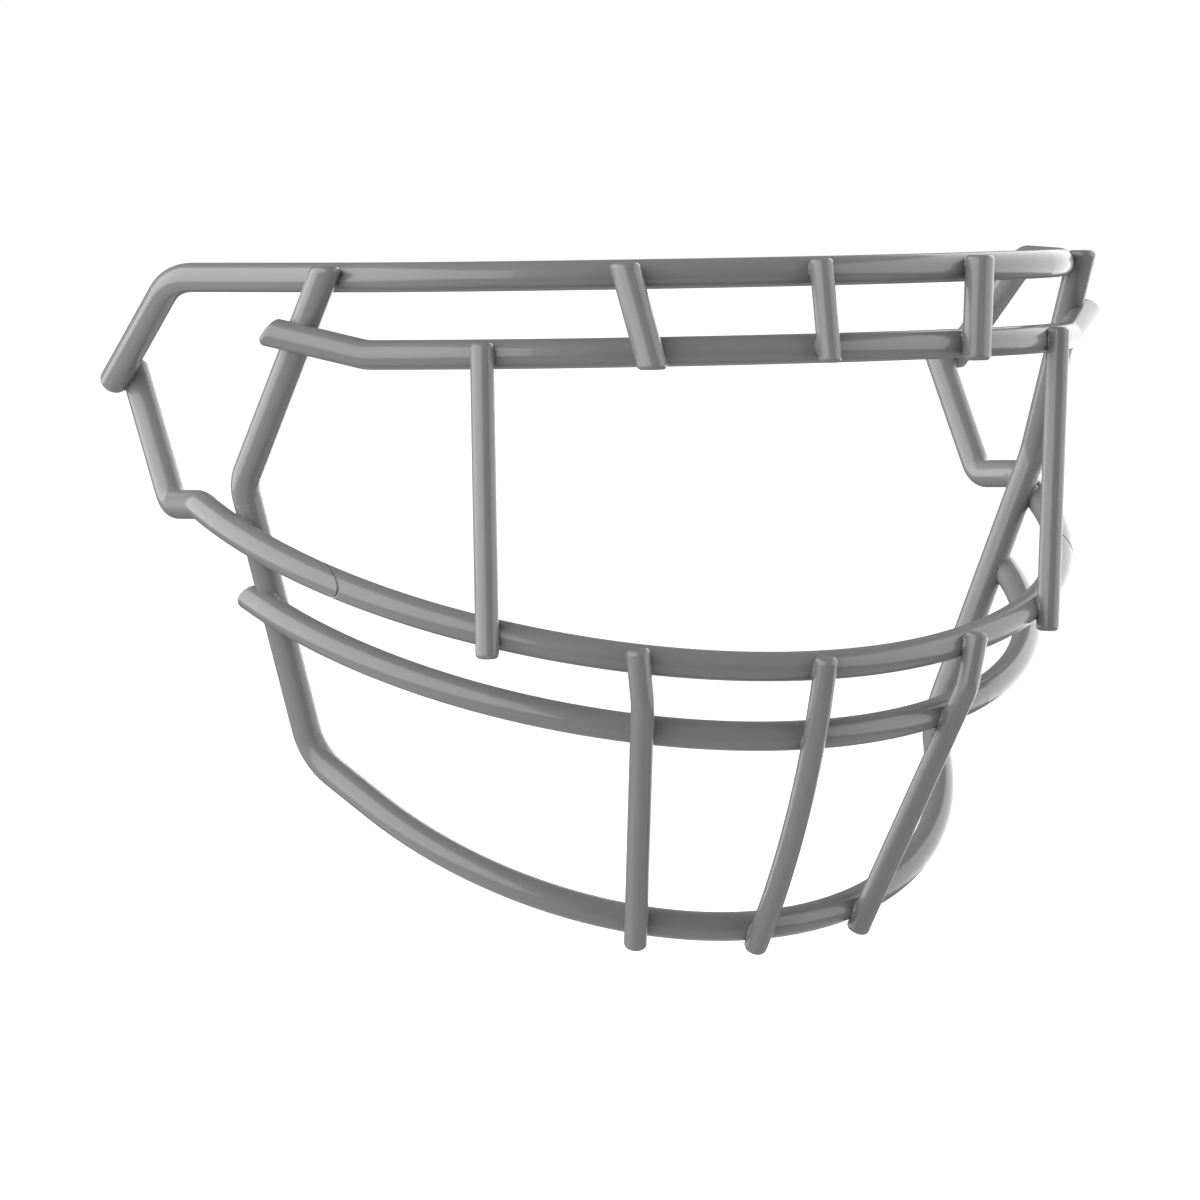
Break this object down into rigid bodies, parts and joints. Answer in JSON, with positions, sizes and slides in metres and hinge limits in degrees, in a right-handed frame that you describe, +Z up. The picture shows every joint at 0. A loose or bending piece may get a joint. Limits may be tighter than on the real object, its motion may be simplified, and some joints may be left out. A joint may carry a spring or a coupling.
{
  "type": "football helmet facemask",
  "caption": "Welded wire facemask for a football helmet: a level top bar, a brow bar, a jaw bar with side arms, a chin loop and crossing light bars in a grey gloss coating.",
  "frame": {"origin": "on the axis of the top bar at the middle of the forehead, where a forehead clip sits", "axes": "+X towards the wearer's left, -Y out of the front of the mask, +Z up; the mask is the same on both sides of X = 0"},
  "size_m": [0.2106, 0.1267, 0.1437],
  "materials": {
    "bar_coating": "gloss",
    "weld_coating": "gloss"
  },
  "bodies": {
    "root": {"arm_butt_welds": "weld_coating", "brow_bar": "bar_coating", "brow_bar_welds": "weld_coating", "cheek_butt_welds": "weld_coating", "chin_loop": "bar_coating", "chin_loop_welds": "weld_coating", "jaw_bar": "bar_coating", "jaw_bar_welds": "weld_coating", "left_brow_link": "bar_coating", "left_chin_bar": "bar_coating", "left_eye_bar": "bar_coating", "left_side_arm": "bar_coating", "left_upright": "bar_coating", "lower_bar": "bar_coating", "lower_bar_welds": "weld_coating", "middle_brow_link": "bar_coating", "middle_chin_bar": "bar_coating", "right_brow_link": "bar_coating", "right_chin_bar": "bar_coating", "right_eye_bar": "bar_coating", "right_side_arm": "bar_coating", "right_upright": "bar_coating", "top_bar": "bar_coating", "top_bar_welds": "weld_coating"}
  },
  "joints": []
}
